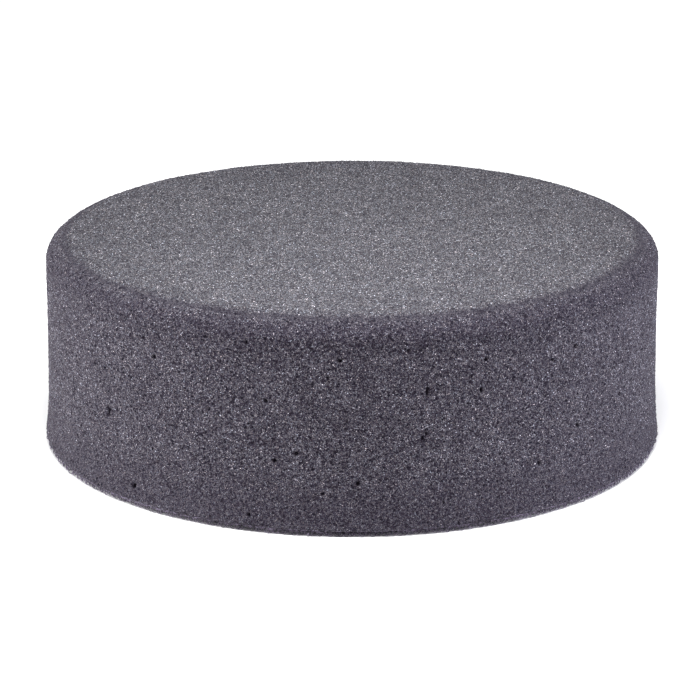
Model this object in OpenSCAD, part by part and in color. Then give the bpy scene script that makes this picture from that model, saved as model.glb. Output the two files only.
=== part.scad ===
// Foam polishing pad of the hook-and-loop kind.
// An open-cell foam disc with a rounded work face is laminated to a disc of loop fabric.
// The loops hang on to the hook face of a backing plate, which centres on the pad by eye.
// Frame: +Z runs from the loop face to the work face, with the origin at the loop face's centre.

/* [Pad] */
// Diameter of the foam at its back edge, where the fabric holds it at full size
back_d = 150; // [75:1:200]
// Height of the whole pad, from the loop tips to the work face
pad_h = 50; // [25:1:60]

/* [Foam wall] */
// How far the wall draws in from the back edge towards the work face
draw_in = 1.2; // [0.4:0.1:3]
// Height over which most of the draw-in happens
draw_in_h = 7.5; // [5:0.5:15]

/* [Foam shoulder] */
// Width of the rounded edge, measured along the work face
shoulder_w = 7.7; // [3:0.1:15]
// Height of the rounded edge, measured down the wall
shoulder_h = 5.3; // [3:0.1:12]

/* [Loop fabric] */
// Thickness of the hot-melt film between the foam and the fabric
film_t = 0.2; // [0.1:0.05:0.5]
// Thickness of the knitted ground that holds the loops
ground_t = 0.5; // [0.3:0.05:1]
// Height of the loops below the ground
pile_t = 0.9; // [0.6:0.1:2]
// How far the fabric's cut edge stands back from the foam's back edge
fabric_inset = 0.2; // [0:0.1:1]

/* [Hidden] */
// Every piece of the pad, from the work face down

// Straight steps along the drawn-in wall and around the rounded edge
WALL_STEPS = 12;
SHOULDER_STEPS = 12;
$fn = 180;

// Heights of the joints between the layers
ground_z = pile_t;
film_z = ground_z + ground_t;
foam_z = film_z + film_t;
wall_top_z = pad_h - shoulder_h;

// The fabric and the film are cut as one blank
fabric_d = back_d - 2 * fabric_inset;

// Radius of the foam's wall at a height: widest at the back and settling to the free size
function wall_r(z) = back_d / 2 - draw_in * (1 - exp(-(z - foam_z) / draw_in_h));

// Outline of the wall, from the back edge up to where the rounding starts
function wall_points() = [
    for (i = [0 : WALL_STEPS])
        let (z = foam_z + (wall_top_z - foam_z) * i / WALL_STEPS)
        [wall_r(z), z]
];

// Outline of the rounded edge, a quarter of an ellipse that ends level with the work face
function shoulder_points() = [
    for (i = [1 : SHOULDER_STEPS])
        let (a = 90 * i / SHOULDER_STEPS)
        [wall_r(wall_top_z) - shoulder_w * (1 - cos(a)), wall_top_z + shoulder_h * sin(a)]
];

// Open-cell polyurethane foam, from the film up to the work face
module foam_body() {
    color([0.24, 0.23, 0.27])
        rotate_extrude()
            polygon(concat([[0, foam_z]], wall_points(), shoulder_points(), [[0, pad_h]]));
}

// A flat disc of the fabric blank, between two heights
module blank_disc(bottom_z, thickness) {
    translate([0, 0, bottom_z])
        cylinder(d = fabric_d, h = thickness);
}

// Hot-melt film that bonds the fabric to the foam
module adhesive_film() {
    color([0.16, 0.15, 0.18])
        blank_disc(film_z, film_t);
}

// Knitted ground of the loop fabric
module loop_ground() {
    color([0.13, 0.13, 0.15])
        blank_disc(ground_z, ground_t);
}

// Space that the fabric's loops fill, down to their tips
module loop_pile() {
    color([0.17, 0.17, 0.19])
        blank_disc(0, pile_t);
}

foam_body();
adhesive_film();
loop_ground();
loop_pile();
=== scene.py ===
import itertools
import math

import bpy
import numpy as np
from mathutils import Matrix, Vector


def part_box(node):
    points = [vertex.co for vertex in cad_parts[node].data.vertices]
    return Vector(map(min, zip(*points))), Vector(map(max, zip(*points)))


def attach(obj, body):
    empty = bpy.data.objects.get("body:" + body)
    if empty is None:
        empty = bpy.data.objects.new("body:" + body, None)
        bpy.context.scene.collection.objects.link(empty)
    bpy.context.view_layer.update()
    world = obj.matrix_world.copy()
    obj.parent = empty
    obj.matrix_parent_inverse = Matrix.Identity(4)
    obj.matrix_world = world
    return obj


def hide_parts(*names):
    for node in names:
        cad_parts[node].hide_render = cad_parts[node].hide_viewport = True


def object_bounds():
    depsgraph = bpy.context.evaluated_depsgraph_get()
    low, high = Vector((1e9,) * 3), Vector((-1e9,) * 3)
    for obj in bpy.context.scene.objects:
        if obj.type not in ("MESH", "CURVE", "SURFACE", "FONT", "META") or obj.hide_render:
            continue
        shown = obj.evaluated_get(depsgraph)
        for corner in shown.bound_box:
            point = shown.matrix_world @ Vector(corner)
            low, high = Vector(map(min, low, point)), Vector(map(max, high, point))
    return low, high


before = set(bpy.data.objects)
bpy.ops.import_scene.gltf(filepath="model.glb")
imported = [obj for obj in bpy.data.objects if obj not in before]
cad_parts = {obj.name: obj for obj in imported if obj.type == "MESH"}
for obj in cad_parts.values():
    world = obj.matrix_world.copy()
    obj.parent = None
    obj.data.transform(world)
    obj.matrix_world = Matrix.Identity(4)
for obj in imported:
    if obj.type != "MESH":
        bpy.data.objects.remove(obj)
cad_low, cad_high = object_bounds()

# Everything is in metres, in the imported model's frame: +Z up, the loop face on z = 0.
MM = 0.001
FULL_TURN = 2 * math.pi
foam_low, foam_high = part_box("foam_body")
ground_low, ground_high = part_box("loop_ground")
pile_low, pile_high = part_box("loop_pile")

BACK_RADIUS = (foam_high[0] - foam_low[0]) / 2
FABRIC_RADIUS = (ground_high[0] - ground_low[0]) / 2

# The foam's outline, the same as the CAD solid's
DRAW_IN = 1.2 * MM
DRAW_IN_HEIGHT = 7.5 * MM
SHOULDER_WIDTH = 7.7 * MM
SHOULDER_HEIGHT = 5.3 * MM

# The foam's cells as its material shows them and, a little larger, as its mesh does, how deep the cut ones
# are, how far its tips stand out and how uneven the cut is
CELL = 0.62 * MM
MESH_CELL = CELL * 1.15
PIT_DEPTH = 0.46 * MM
TIP_HEIGHT = 0.13 * MM
UNEVENNESS = 0.12 * MM

# Along the outline: how ragged the crease round the work face is, how far the sliced look fades past it,
# and the middle and reach of the band of painted shade low on the edge
CREASE_RAGGED = 0.4 * MM
CREASE_FADE = 4.6 * MM
SHADE_BAND_MIDDLE = 8.3 * MM
SHADE_BAND_REACH = 3.7 * MM

# The foam's mesh: size of a triangle, space between rows as a share of it, and how far vertices stray
MESH_STEP = 0.34 * MM
ROW_SHARE = 0.87
STRAY = 0.3
# Rings across its flat back: how far in from the edge in mm, and how many times fewer vertices they have
BACK_RINGS = [(0.5, 1), (1.2, 2), (3, 4), (7, 8), (16, 16), (36, 32)]

# Pores that stand out on the front of the wall: degrees from the front, height, width and tallness in mm
LARGE_PORES = [
    (-49, 20.5, 0.9, 2.6),
    (13, 33.5, 0.8, 3.0),
    (44, 19, 1.2, 1.2),
    (-37, 37, 1.0, 0.9),
    (-2, 41, 1.1, 1.1),
    (-15, 31, 1.2, 0.9),
    (43, 38, 0.9, 1.1),
    (-18, 4, 1.0, 1.0),
    (-42, 5, 1.2, 1.2),
    (1, 12.5, 0.9, 1.0),
    (-5, 10, 1.1, 0.8),
]
SMALL_PORES_WALL = 60
SMALL_PORES_FACE = 20
# Depth of a pore as a multiple of its half width or half tallness, whichever is smaller
PORE_DEPTH = 2.6


# ------------------------------------------------------------------ helpers


def new_piece(name, verts, faces):
    """A smooth mesh object with those vertices and faces, which all have the same number of corners."""
    verts = np.asarray(verts, dtype=np.float32)
    faces = np.asarray(faces, dtype=np.int32)
    corners = faces.shape[1]
    mesh = bpy.data.meshes.new(name)
    mesh.vertices.add(len(verts))
    mesh.vertices.foreach_set("co", verts.ravel())
    mesh.loops.add(faces.size)
    mesh.loops.foreach_set("vertex_index", faces.ravel())
    mesh.polygons.add(len(faces))
    mesh.polygons.foreach_set("loop_start", np.arange(0, faces.size, corners, dtype=np.int32))
    mesh.update(calc_edges=True)
    mesh.shade_smooth()
    piece = bpy.data.objects.new(name, mesh)
    bpy.context.scene.collection.objects.link(piece)
    return piece


def add_attribute(piece, name, values):
    """Stores one number per vertex for the piece's material to read."""
    layer = piece.data.attributes.new(name, "FLOAT", "POINT")
    layer.data.foreach_set("value", np.asarray(values, dtype=np.float32))


def scatter(cells, salt):
    """Three even random numbers from 0 to 1 for each whole-number cell, always the same."""
    mixed = cells.astype(np.int64) @ np.array([73856093, 19349663, 83492791]) + salt * 2654435761
    out = []
    for turn in range(3):
        mixed = (mixed ^ (mixed >> 15)) * 2246822519 & 0xFFFFFFFF
        mixed = (mixed ^ (mixed >> 13)) * 3266489917 & 0xFFFFFFFF
        mixed = mixed ^ (mixed >> 16)
        out.append(mixed / 0xFFFFFFFF)
    return np.stack(out, axis=1)


# How far a strut reaches into its cells, as a share of their size
STRUT_REACH = 0.55


def foam_cells(points, size, salt):
    """For each point: 0 at the middle of its foam cell, 1 on the strut between two cells."""
    home = np.floor(points / size)
    nearest = np.full(len(points), 9.0)
    second = np.full(len(points), 9.0)
    for offset in itertools.product((-1, 0, 1), repeat=3):
        cell = home + np.array(offset)
        centre = (cell + scatter(cell, salt)) * size
        gap = np.linalg.norm(points - centre, axis=1) / size
        second = np.minimum(second, np.maximum(nearest, gap))
        nearest = np.minimum(nearest, gap)
    return 1 - np.clip((second - nearest) / STRUT_REACH, 0, 1)


def soft_noise(points, size, salt):
    """Smooth random numbers from -1 to 1 that change over that size."""
    scaled = points / size
    home = np.floor(scaled)
    part = scaled - home
    ease = part * part * (3 - 2 * part)
    total = np.zeros(len(points))
    for corner in itertools.product((0, 1), repeat=3):
        weight = np.ones(len(points))
        for axis in range(3):
            weight *= ease[:, axis] if corner[axis] else 1 - ease[:, axis]
        total += weight * scatter(home + np.array(corner), salt)[:, 0]
    return 2 * total - 1


# ------------------------------------------------------------------ foam: outline


def wall_radius(z):
    """Radius of the wall: widest at the back edge, and drawn in above it."""
    return BACK_RADIUS - DRAW_IN * (1 - np.exp(-(z - foam_low[2]) / DRAW_IN_HEIGHT))


# Points along the outline: on the work face, on the rounded edge and on the wall
FACE_POINTS = 400
EDGE_POINTS = 200
WALL_POINTS = 400


def foam_outline():
    """The outline from the work face's centre to the back edge: radii, heights and lengths along it."""
    wall_top = foam_high[2] - SHOULDER_HEIGHT
    face_radius = wall_radius(wall_top) - SHOULDER_WIDTH
    turn = np.linspace(math.pi / 2, 0, EDGE_POINTS)[1:-1]
    wall_z = np.linspace(wall_top, foam_low[2], WALL_POINTS)
    r = np.concatenate([
        np.linspace(0, face_radius, FACE_POINTS),
        face_radius + SHOULDER_WIDTH * np.cos(turn),
        wall_radius(wall_z),
    ])
    z = np.concatenate([
        np.full(FACE_POINTS, foam_high[2]),
        wall_top + SHOULDER_HEIGHT * np.sin(turn),
        wall_z,
    ])
    along = np.concatenate([[0], np.cumsum(np.hypot(np.diff(r), np.diff(z)))])
    return r, z, along


OUT_R, OUT_Z, OUT_S = foam_outline()
FOAM_LENGTH = OUT_S[-1]
FACE_LENGTH = OUT_S[FACE_POINTS - 1]
# The outline's direction
OUT_TR = np.gradient(OUT_R, OUT_S)
OUT_TZ = np.gradient(OUT_Z, OUT_S)


def on_foam(s, angle):
    """Point on the smooth foam and its outward normal, at a length along the outline and an angle."""
    r = np.interp(s, OUT_S, OUT_R)
    z = np.interp(s, OUT_S, OUT_Z)
    tr = np.interp(s, OUT_S, OUT_TR)
    tz = np.interp(s, OUT_S, OUT_TZ)
    size = np.hypot(tr, tz)
    point = np.stack([r * np.cos(angle), r * np.sin(angle), z], axis=1)
    normal = np.stack([-tz / size * np.cos(angle), -tz / size * np.sin(angle), tr / size], axis=1)
    return point, normal


# ------------------------------------------------------------------ foam: mesh


def stitch(inner, outer, angle):
    """Triangles between two closed rings of vertex numbers, each ring in order of angle."""
    is_outer = np.concatenate([np.zeros(len(inner), bool), np.ones(len(outer), bool)])
    order = np.argsort(angle[np.concatenate([inner, outer])], kind="stable")
    is_outer = is_outer[order]
    i = np.cumsum(~is_outer) - 1
    j = np.cumsum(is_outer) - 1
    inner_step = np.stack([inner[i - 1], outer[j], inner[i]], axis=1)
    outer_step = np.stack([inner[i], outer[j - 1], outer[j]], axis=1)
    return np.where(is_outer[:, None], outer_step, inner_step)


def foam_grid(rng):
    """Length along the outline and angle of every vertex, the triangles, and how many vertices are skin."""
    rows = int(round(FOAM_LENGTH / (MESH_STEP * ROW_SHARE)))
    radius = np.interp(FOAM_LENGTH * np.arange(1, rows + 1) / rows, OUT_S, OUT_R)
    plan = []
    for row in range(rows):
        stray = 0.0 if row == rows - 1 else STRAY
        count = max(6, int(FULL_TURN * radius[row] / MESH_STEP))
        plan.append((FOAM_LENGTH * (row + 1) / rows, count, stray))
    skin_rows = len(plan)
    # The back, which is bonded to the film, is flat and needs few triangles
    edge_count = plan[-1][1]
    for inset, fewer in BACK_RINGS:
        plan.append((FOAM_LENGTH + inset * MM, edge_count // fewer, 0.0))
    lengths, angles, rings = [np.zeros(1)], [np.zeros(1)], []
    total = 1
    for s, count, stray in plan:
        jitter = rng.uniform(-stray, stray, count) if stray else np.zeros(count)
        angles.append((np.arange(count) + 0.5 + jitter) * FULL_TURN / count)
        lengths.append(s + rng.uniform(-1, 1, count) * stray * MESH_STEP)
        rings.append(np.arange(total, total + count))
        total += count
    lengths.append(np.array([FOAM_LENGTH + BACK_RADIUS]))
    angles.append(np.zeros(1))
    lengths, angles = np.concatenate(lengths), np.concatenate(angles)
    faces = [np.stack([np.zeros_like(rings[0]), rings[0], np.roll(rings[0], -1)], axis=1)]
    for inner, outer in zip(rings, rings[1:]):
        faces.append(stitch(inner, outer, angles))
    last = rings[-1]
    faces.append(np.stack([last, np.full_like(last, total), np.roll(last, -1)], axis=1))
    return lengths, angles, np.concatenate(faces), rings[skin_rows - 1][-1] + 1


def pore_list(rng):
    """Every pore as (length along the outline, angle, half width, half tallness)."""
    pores = []
    wall_start = float(np.interp(-(foam_high[2] - SHOULDER_HEIGHT), -OUT_Z, OUT_S))
    for degrees, height, width, tall in LARGE_PORES:
        s = float(np.interp(-height * MM, -OUT_Z, OUT_S))
        pores.append((s, math.radians(degrees - 90), width / 2 * MM, tall / 2 * MM))
    for k in range(SMALL_PORES_WALL):
        s = rng.uniform(wall_start, FOAM_LENGTH - 1.5 * MM)
        half = rng.uniform(0.22, 0.5) * MM
        pores.append((s, rng.uniform(0, FULL_TURN), half, half * rng.uniform(0.7, 1.6)))
    for k in range(SMALL_PORES_FACE):
        s = wall_start * math.sqrt(rng.uniform(0.01, 1))
        half = rng.uniform(0.22, 0.4) * MM
        pores.append((s, rng.uniform(0, FULL_TURN), half, half * rng.uniform(0.7, 1.4)))
    return pores


def pore_depth(s, angle, point, pores):
    """How deep each vertex is in a pore, from 0 outside to 1 at its bottom, and the pore's smaller half."""
    depth = np.zeros(len(s))
    size = np.zeros(len(s))
    for pore_s, pore_angle, half_wide, half_tall in pores:
        centre, _ = on_foam(np.array([pore_s]), np.array([pore_angle]))
        near = np.where(np.abs(s - pore_s) < half_tall * 2.5)[0]
        near = near[np.linalg.norm(point[near] - centre[0], axis=1) < 2.5 * max(half_wide, half_tall)]
        if not len(near):
            continue
        across = np.linalg.norm(point[near][:, :2] - centre[0][:2], axis=1) / half_wide
        down = (s[near] - pore_s) / half_tall
        ragged = 1 + 0.35 * soft_noise(point[near], 0.5 * MM, 7)
        level = np.clip(1.25 - np.hypot(across, down) * ragged, 0, 1)
        level = level * level * (3 - 2 * level)
        deeper = level > depth[near]
        depth[near[deeper]] = level[deeper]
        size[near[deeper]] = min(half_wide, half_tall)
    return depth, size


def build_foam():
    """The foam disc: its outline turned, with cut cells, pores and a slightly uneven cut all over."""
    rng = np.random.default_rng(41)
    lengths, angles, faces, skin_count = foam_grid(rng)
    s, angle = lengths[:skin_count], angles[:skin_count]
    smooth, normal = on_foam(s, angle)
    normal[s > FOAM_LENGTH - 1e-9, 2] = 0

    # How far a vertex is raised comes nearly half from the cells and the rest from chance
    strut = foam_cells(smooth, MESH_CELL, 3)
    luck = rng.standard_normal(skin_count)
    raised = 0.45 * (2 * strut - 1) + 0.55 * luck
    pore, half = pore_depth(s, angle, smooth, pore_list(rng))
    uneven = 0.6 * soft_noise(smooth, 14 * MM, 11) + 0.4 * soft_noise(smooth, 5 * MM, 12)
    tips = TIP_HEIGHT * np.clip(raised, 0, 3)
    pits = PIT_DEPTH * 0.5 * np.clip(raised, -2, 0)
    shift = UNEVENNESS * uneven - pore * half * PORE_DEPTH
    shift += (1 - pore) * (tips + pits)
    skin = smooth + normal * shift[:, None]

    back_s = lengths[skin_count:]
    back_r = BACK_RADIUS - (back_s - FOAM_LENGTH)
    back_angle = angles[skin_count:]
    back_z = np.full(len(back_r), foam_low[2])
    back = np.stack([back_r * np.cos(back_angle), back_r * np.sin(back_angle), back_z], axis=1)

    # The work face is modelled as sliced and its edge as ground: 1 in the middle of the face, a little less
    # near the crease round it, which darkens the face's rim with painted shade, and falling to 0 past the
    # crease
    past = s + CREASE_RAGGED * soft_noise(smooth, 2 * MM, 13) - FACE_LENGTH
    fading = 0.9 * np.exp(-((past / CREASE_FADE) ** 2))
    face = np.where(past < 0, 1 - 0.10 * np.exp(past / (10 * MM)), fading)
    # A darker band low on the edge all round: painted shade. The photo shows one; whether it is
    # colour or shade isn't known
    shade_band = np.exp(-(((past - SHADE_BAND_MIDDLE) / SHADE_BAND_REACH) ** 2))

    piece = new_piece("foam_disc", np.concatenate([skin, back]), faces)
    for name, values in (("raised", raised), ("pore", pore), ("face", face), ("shade_band", shade_band)):
        add_attribute(piece, name, np.concatenate([values, np.zeros(len(back_r))]))
    return piece


# ------------------------------------------------------------------ loop fabric

# The knit: width and mesh rows of a rib, length of a stitch, mesh steps along a rib, depth of the ribs
WALE_PITCH = 1.1 * MM
WALE_STEPS = 4
STITCH_LENGTH = 2.2 * MM
COURSE_STEPS = 120
RIB_DEPTH = 0.16 * MM
# How far the die-cut rim is frayed
RIM_FRAY = 0.25 * MM

# The loops: width of the zone along the rim, how far apart they are in it, how many stand inside it, and
# half the thickness of one
RIM_ZONE = 1.7 * MM
RIM_LOOP_PITCH = 1.15 * MM
LOOPS_INSIDE = 5000
LOOP_HALF = 0.10 * MM


def frayed(x, y, rng):
    """A point on the rim, moved inwards by a small random distance."""
    share = 1 - rng.uniform(0, RIM_FRAY) / FABRIC_RADIUS
    return x * share, y * share


def build_ground():
    """The knitted ground: a round blank with a frayed rim, whose underside has the ribs of the knit."""
    rows = int(2 * FABRIC_RADIUS / WALE_PITCH) * WALE_STEPS
    top, bottom = ground_high[2], ground_low[2]
    verts, faces = [], []
    for row in range(rows + 1):
        # The outermost rows stay just inside the rim, so that no row shrinks to a point
        y = (FABRIC_RADIUS - 0.02 * MM) * (2 * row / rows - 1)
        half = math.sqrt(FABRIC_RADIUS**2 - y * y)
        rib = 0.5 + 0.5 * math.cos(FULL_TURN * row / WALE_STEPS)
        for k in range(COURSE_STEPS + 1):
            x = half * (2 * k / COURSE_STEPS - 1)
            # Stitches of neighbouring ribs are half a stitch apart
            turn = x / STITCH_LENGTH + 0.5 * (row // WALE_STEPS % 2)
            bulge = 0.5 + 0.5 * math.cos(FULL_TURN * turn)
            verts.append((x, y, bottom + RIB_DEPTH * (1 - rib * (0.6 + 0.4 * bulge))))
    wide = COURSE_STEPS + 1
    for row in range(rows):
        for k in range(COURSE_STEPS):
            a = row * wide + k
            faces.append((a, a + wide, a + wide + 1))
            faces.append((a, a + wide + 1, a + 1))
    border = list(range(wide))
    border += [row * wide + COURSE_STEPS for row in range(1, rows)]
    border += [rows * wide + k for k in range(COURSE_STEPS, -1, -1)]
    border += [row * wide for row in range(rows - 1, 0, -1)]
    rng = np.random.default_rng(23)
    for k in border:
        x, y, z = verts[k]
        verts[k] = (*frayed(x, y, rng), z)
    first = len(verts)
    for k in border:
        x, y, _ = verts[k]
        verts.append((*frayed(x, y, rng), top))
    count = len(border)
    for k in range(count):
        after = (k + 1) % count
        faces.append((border[k], border[after], first + after))
        faces.append((border[k], first + after, first + k))
    hub = len(verts)
    verts.append((0, 0, top))
    for k in range(count):
        faces.append((first + k, first + (k + 1) % count, hub))
    return new_piece("knit_ground", verts, faces)


def build_pile():
    """The fabric's loops, each a bent three-sided bundle of filaments, densest along the rim."""
    rng = np.random.default_rng(17)
    inner = FABRIC_RADIUS - RIM_ZONE
    # The golden angle spreads the loops evenly over the disc
    golden = math.pi * (3 - math.sqrt(5))
    number = np.arange(LOOPS_INSIDE)
    radii = [inner * np.sqrt((number + 0.5) / LOOPS_INSIDE) + rng.uniform(-0.4, 0.4, LOOPS_INSIDE) * MM]
    angles = [number * golden]
    for inset in (0.25 * MM, 0.95 * MM):
        count = int(FULL_TURN * FABRIC_RADIUS / RIM_LOOP_PITCH)
        radii.append(FABRIC_RADIUS - inset + rng.uniform(-0.15, 0.1, count) * MM)
        angles.append(FULL_TURN * (np.arange(count) + rng.uniform(-0.3, 0.3, count)) / count)
    r, a = np.concatenate(radii), np.concatenate(angles)
    total = len(r)
    # Loops run every way inside, and along the rim at the rim
    at_rim = r > inner
    along_rim = a + math.pi / 2 + 0.4 * rng.standard_normal(total)
    any_way = rng.uniform(0, FULL_TURN, total)
    heading = np.where(at_rim, along_rim, any_way)
    width = rng.uniform(0.8, 1.5, total) * MM
    drop = (pile_high[2] - pile_low[2]) * rng.uniform(0.72, 1.0, total)
    lean = rng.uniform(-0.35, 0.35, (2, total)) * MM * np.where(at_rim, 0.4, 1)

    steps, sides = 5, 3
    t = np.linspace(0, math.pi, steps + 1)[None, :, None]
    spin = (FULL_TURN * np.arange(sides) / sides + 0.5)[None, None, :]
    half = width[:, None, None] / 2
    along = half * (1.15 * np.cos(t) - 0.15 * np.cos(3 * t))
    down = drop[:, None, None] * np.sin(t) ** 0.8
    # The bundle is flattened: wider across the loop than it is deep
    across = 1.5 * LOOP_HALF * np.cos(spin)
    deep = 0.7 * LOOP_HALF * np.sin(spin)
    run = along + deep * np.cos(t)
    cos_h = np.cos(heading)[:, None, None]
    sin_h = np.sin(heading)[:, None, None]
    tilt = down / drop[:, None, None]
    x = (r * np.cos(a))[:, None, None] + run * cos_h - across * sin_h + lean[0][:, None, None] * tilt
    y = (r * np.sin(a))[:, None, None] + run * sin_h + across * cos_h + lean[1][:, None, None] * tilt
    z = pile_high[2] + 0.12 * MM - down - deep * np.sin(t) + 0 * x
    z = np.maximum(z, pile_low[2])
    verts = np.stack([x, y, z], axis=-1).reshape(-1, 3)

    tube = []
    for k in range(steps):
        for corner in range(sides):
            p = sides * k + corner
            q = sides * k + (corner + 1) % sides
            tube += [(p, q + sides, q), (p, p + sides, q + sides)]
    last = sides * steps
    tube += [(0, 1, 2), (last + 2, last + 1, last)]
    tube = np.array(tube)
    per_loop = sides * (steps + 1)
    faces = (tube[None, :, :] + (np.arange(total) * per_loop)[:, None, None]).reshape(-1, 3)
    piece = new_piece("nylon_loops", verts, faces)
    add_attribute(piece, "tone", np.repeat(rng.uniform(0, 1, total), per_loop))
    return piece


# ------------------------------------------------------------------ materials


class Nodes:
    """Short names for building a material's node tree."""

    def __init__(self, name):
        self.material = bpy.data.materials.new(name)
        self.material.use_nodes = True
        self.tree = self.material.node_tree
        self.shader = self.tree.nodes["Principled BSDF"]

    def add(self, kind, inputs=None, **settings):
        """A node with those settings, and with its inputs set to numbers or linked to outputs."""
        node = self.tree.nodes.new(kind)
        for key, value in settings.items():
            setattr(node, key, value)
        for key, value in (inputs or {}).items():
            self.put(node.inputs[key], value)
        return node

    def put(self, socket, value):
        """Links an output to a socket, or sets the socket's own value."""
        if isinstance(value, bpy.types.NodeSocket):
            self.tree.links.new(value, socket)
        else:
            socket.default_value = value

    def math(self, operation, a, b=0.0):
        """The result of a math operation on one or two numbers."""
        return self.add("ShaderNodeMath", {0: a, 1: b}, operation=operation).outputs[0]

    def times(self, a, b):
        """The product of two numbers."""
        return self.math("MULTIPLY", a, b)

    def total(self, first, *others):
        """The sum of two or more numbers."""
        result = first
        for other in others:
            result = self.math("ADD", result, other)
        return result

    def ramp(self, value, low, high, to_low=0.0, to_high=1.0):
        """Eases value from low..high to to_low..to_high."""
        node = self.add(
            "ShaderNodeMapRange",
            {"Value": value, "From Min": low, "From Max": high, "To Min": to_low, "To Max": to_high},
            interpolation_type="SMOOTHSTEP",
        )
        return node.outputs["Result"]

    def mix(self, share, a, b, blend="MIX"):
        """Colour a blended with colour b by that share."""
        node = self.add("ShaderNodeMix", data_type="RGBA", blend_type=blend)
        self.put(node.inputs[0], share)
        self.put(node.inputs[6], a)
        self.put(node.inputs[7], b)
        return node.outputs[2]

    def noise(self, size, detail, rough):
        """Cloudy random numbers from 0 to 1 that change over that size."""
        node = self.add("ShaderNodeTexNoise", {"Scale": 1 / size, "Detail": detail, "Roughness": rough})
        self.put(node.inputs["Vector"], self.where())
        return node.outputs["Fac"]

    def voronoi(self, size, feature):
        """A node that divides the space into grains of that size."""
        node = self.add("ShaderNodeTexVoronoi", {"Scale": 1 / size}, feature=feature)
        self.put(node.inputs["Vector"], self.where())
        return node

    def bump(self, height, strength, distance):
        """A normal that stands for fine relief of that height."""
        inputs = {"Strength": strength, "Distance": distance, "Height": height}
        return self.add("ShaderNodeBump", inputs).outputs[0]

    def split(self, colour):
        """The three channels of a colour."""
        return self.add("ShaderNodeSeparateColor", {0: colour}).outputs

    def grains(self, size):
        """Three even random numbers from 0 to 1 for each grain of that size."""
        return self.split(self.voronoi(size, "F1").outputs["Color"])

    def where(self):
        """The point's place on the object, from one node for the whole material."""
        if not hasattr(self, "place"):
            self.place = self.add("ShaderNodeTexCoord").outputs["Object"]
        return self.place

    def attribute(self, name):
        """The numbers that add_attribute stored under that name."""
        return self.add("ShaderNodeAttribute", attribute_name=name).outputs["Fac"]

    def set(self, **values):
        """Sets or links the shader's sockets, with underscores for the spaces in their names."""
        for key, value in values.items():
            self.put(self.shader.inputs[key.replace("_", " ")], value)


# The share of light that a spot of the foam returns at level 0, and the level of a middling spot of its grain
FOAM_GREY = 0.0265
MIDDLE_LEVEL = 2.1
# Sizes of the specks on the foam's wall and face, of the cells that are cut open, and of the fabric's specks
WALL_GRAIN = 0.145 * MM
FACE_GRAIN = 0.18 * MM
HOLLOW_CELL = 0.5 * MM
FABRIC_GRAIN = 0.24 * MM


def foam_material():
    """Purple-grey open-cell foam: cut struts round cells darkened with painted shade, tips brightened with
    painted light, paler where it is sliced, partly with painted light.
    """
    n = Nodes("foam")
    edge = n.voronoi(CELL, "DISTANCE_TO_EDGE").outputs["Distance"]
    strut = n.ramp(edge, 0.02, 0.25, 1.0, 0.0)
    face = n.attribute("face")
    fine = n.voronoi(WALL_GRAIN, "F1").outputs["Color"]
    coarse = n.voronoi(FACE_GRAIN, "F1").outputs["Color"]
    grain = n.split(n.mix(n.ramp(face, 0.3, 0.7), fine, coarse))
    glint = n.math("POWER", grain[1], 9.0)

    # The level is the logarithm of how bright a spot is. Tips, struts, specks and hollows stand out more on
    # the ground wall, where face is 0, than on the sliced face, where it is about 1
    # Painted light on the raised tips and painted shade in the sunken pits
    tips = n.times(n.attribute("raised"), n.ramp(face, 0, 1, 0.5, 0.35))
    # Painted shade in the middles of the cells, round which the struts are paler
    struts = n.times(strut, n.ramp(face, 0, 1, 0.40, 0.20))
    specks = n.times(grain[0], n.ramp(face, 0, 1, 3.7, 2.8))
    # The glints are painted highlights in the colour, where the roughness is lower too
    glints = n.times(glint, 1.8)
    # Now and then a cell is cut open and painted shade makes it look black
    hollows = n.ramp(n.grains(HOLLOW_CELL)[0], 0.75, 1.0, 0.0, n.ramp(face, 0, 1, -1.6, -0.9))
    # The pores are darkened with painted shade, most at their bottoms
    pores = n.ramp(n.attribute("pore"), 0, 0.7, 0.0, -2.0)
    clouds = n.ramp(n.noise(9 * MM, 3.0, 0.6), 0.3, 0.7, -0.08, 0.08)
    # Painted shade along the band low on the edge
    shade_band = n.times(n.attribute("shade_band"), -0.34)
    level = n.total(tips, struts, specks, glints, hollows, pores, clouds, shade_band)

    # The grain is calmer towards the back edge: there the level stays nearer to a middle one
    height = n.add("ShaderNodeSeparateXYZ", {0: n.where()}).outputs[2]
    calm = n.ramp(height, 3 * MM, 18 * MM, 0.78, 1.0)
    level = n.times(n.math("SUBTRACT", level, MIDDLE_LEVEL), calm)
    # The sliced face is paler: partly its own colour, partly painted light on the top
    level = n.total(level, n.ramp(face, 0, 1.12, -0.38, 0.93))
    # No spot is darker or brighter than these two levels
    grey = n.math("EXPONENT", n.math("MAXIMUM", n.math("MINIMUM", level, 3.1), -5.0))
    grey = n.times(grey, FOAM_GREY)
    grey = n.add("ShaderNodeCombineColor", {0: grey, 1: grey, 2: grey}).outputs[0]

    # Dark spots are purple and bright ones nearly grey, and both are greyer where the foam is sliced
    dark_hue = n.mix(face, (1.38, 1, 1.86, 1), (1.08, 1, 1.46, 1))
    pale_hue = n.mix(face, (1.04, 1, 1.14, 1), (1.01, 1, 1.08, 1))
    hue = n.mix(n.ramp(level, -2.5, 1.5), dark_hue, pale_hue)
    tint = n.mix(grain[2], (0.89, 0.99, 1.08, 1), (1.11, 1.0, 0.92, 1))
    colour = n.mix(1.0, n.mix(1.0, grey, hue, "MULTIPLY"), tint, "MULTIPLY")

    relief = n.total(strut, n.times(grain[0], 0.8))
    n.set(Base_Color=colour, Roughness=n.ramp(glint, 0.3, 0.9, 0.85, 0.35))
    n.set(Normal=n.bump(relief, 0.3, 0.10 * MM))
    n.set(Specular_IOR_Level=0.15, Specular_Tint=(0.85, 0.75, 1.0, 1))
    return n.material


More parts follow.
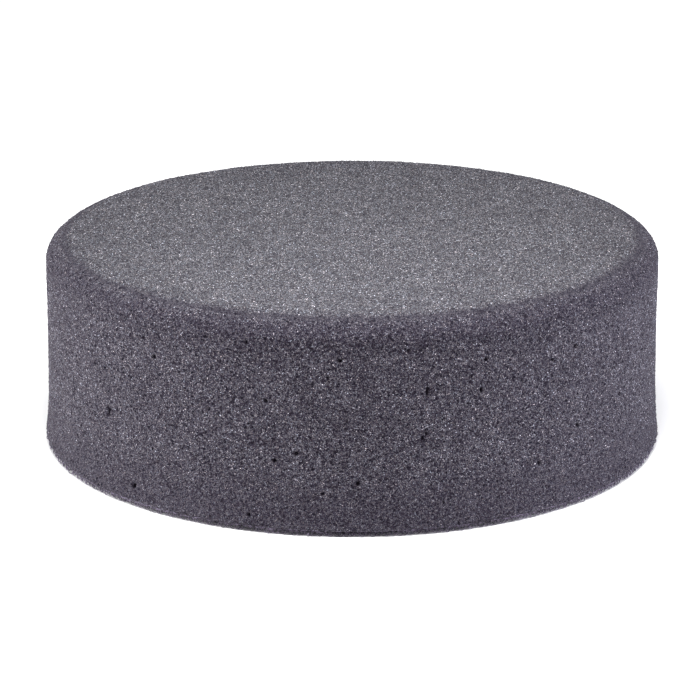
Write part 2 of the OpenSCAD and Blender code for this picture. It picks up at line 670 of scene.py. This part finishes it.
def ground_material():
    """Dark knitted ground with paler specks, where its threads catch the light."""
    n = Nodes("ground")
    thread = n.noise(0.3 * MM, 3.0, 0.6)
    specks = n.ramp(n.grains(FABRIC_GRAIN)[0], 0.3, 1.0)
    colour = n.mix(specks, (0.010, 0.008, 0.013, 1), (0.150, 0.125, 0.180, 1))
    n.set(Base_Color=colour, Roughness=n.ramp(thread, 0.3, 0.7, 0.9, 0.7))
    n.set(Normal=n.bump(thread, 0.6, 0.15 * MM))
    n.set(Specular_IOR_Level=0.25)
    return n.material


def pile_material():
    """Dark nylon filaments, each loop a slightly different grey, brushed matt."""
    n = Nodes("pile")
    tone = n.attribute("tone")
    fibre = n.noise(0.15 * MM, 2.0, 0.5)
    level = n.total(n.times(tone, 0.6), n.times(fibre, 0.4))
    colour = n.mix(level, (0.034, 0.027, 0.046, 1), (0.230, 0.198, 0.270, 1))
    n.set(Base_Color=colour, Roughness=n.ramp(fibre, 0.3, 0.7, 0.65, 0.45))
    n.set(Normal=n.bump(fibre, 0.5, 0.05 * MM))
    n.set(Specular_IOR_Level=0.25)
    return n.material


def film_material():
    """Dark hot-melt film with pale specks and small bubbles."""
    n = Nodes("adhesive")
    cloud = n.noise(2 * MM, 4.0, 0.6)
    bubbles = n.ramp(n.voronoi(0.9 * MM, "F1").outputs["Distance"], 0.0, 0.3, 1.0, 0.0)
    specks = n.ramp(n.grains(FABRIC_GRAIN)[0], 0.3, 1.0)
    colour = n.mix(specks, (0.012, 0.010, 0.016, 1), (0.150, 0.125, 0.180, 1))
    n.set(Base_Color=colour, Roughness=n.ramp(cloud, 0.3, 0.7, 0.55, 0.8))
    n.set(Normal=n.bump(n.total(cloud, bubbles), 0.4, 0.1 * MM))
    n.set(Specular_IOR_Level=0.25)
    return n.material


# ------------------------------------------------------------------ the pieces

foam = build_foam()
foam.data.materials.append(foam_material())
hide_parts("foam_body")
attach(foam, "root")

loops = build_pile()
loops.data.materials.append(pile_material())
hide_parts("loop_pile")
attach(loops, "root")

ground = build_ground()
ground.data.materials.append(ground_material())
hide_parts("loop_ground")
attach(ground, "root")

film_paint = film_material()
for part_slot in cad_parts["adhesive_film"].material_slots:
    part_slot.material = film_paint


# ------------------------------------------------------------------ studio


FLOOR_SIZE = 12.0
WORLD_STRENGTH = 0.76
# Each lamp: place, width and height of its soft front, watts, colour
LAMPS = {
    "near": ((0, -0.12, 0.23), (0.14, 0.14), 1.04, (1, 1, 1)),
    "back": ((0, 0.58, 0.71), (0.8, 0.6), 0.6, (1, 1, 1)),
    "left": ((-0.87, 0, 0.15), (0.5, 0.28), 12.9, (1, 1, 1)),
    "right": ((0.87, 0, 0.15), (0.5, 0.28), 10.0, (0.99, 1, 1.09)),
}


def build_studio():
    """A pale floor and surround, a soft lamp over the pad's front, and others behind and at both sides."""
    half = FLOOR_SIZE / 2
    corners = [(-half, -half, 0), (half, -half, 0), (half, half, 0), (-half, half, 0)]
    floor = new_piece("floor", corners, [(0, 1, 2, 3)])
    n = Nodes("floor")
    n.set(Base_Color=(0.92, 0.92, 0.92, 1), Roughness=0.9)
    floor.data.materials.append(n.material)

    world = bpy.data.worlds.new("studio")
    world.use_nodes = True
    background = world.node_tree.nodes["Background"]
    background.inputs["Color"].default_value = (1, 1, 1, 1)
    background.inputs["Strength"].default_value = WORLD_STRENGTH
    bpy.context.scene.world = world

    aim = Vector((0, 0, (cad_low[2] + cad_high[2]) / 2))
    for name, (place, size, watts, colour) in LAMPS.items():
        data = bpy.data.lights.new(name, "AREA")
        data.shape = "RECTANGLE"
        data.size, data.size_y = size
        data.energy = watts
        data.color = colour
        lamp = bpy.data.objects.new(name, data)
        lamp.location = place
        lamp.rotation_euler = (aim - Vector(place)).to_track_quat("-Z", "Y").to_euler()
        bpy.context.scene.collection.objects.link(lamp)
    bpy.context.scene.view_settings.view_transform = "Standard"


def build_camera():
    """A long lens, a little above the pad and straight in front of it."""
    elevation = math.radians(17.67)
    distance = 0.70
    data = bpy.data.cameras.new("camera")
    data.lens = 147.2
    data.sensor_width = 36
    data.shift_x = -0.003
    data.shift_y = -0.0307
    data.clip_start = 0.01
    camera = bpy.data.objects.new("camera", data)
    middle = (cad_low[2] + cad_high[2]) / 2
    camera.location = (0, -distance * math.cos(elevation), middle + distance * math.sin(elevation))
    camera.rotation_euler = (math.pi / 2 - elevation, 0, 0)
    bpy.context.scene.collection.objects.link(camera)
    bpy.context.scene.camera = camera


build_studio()
build_camera()
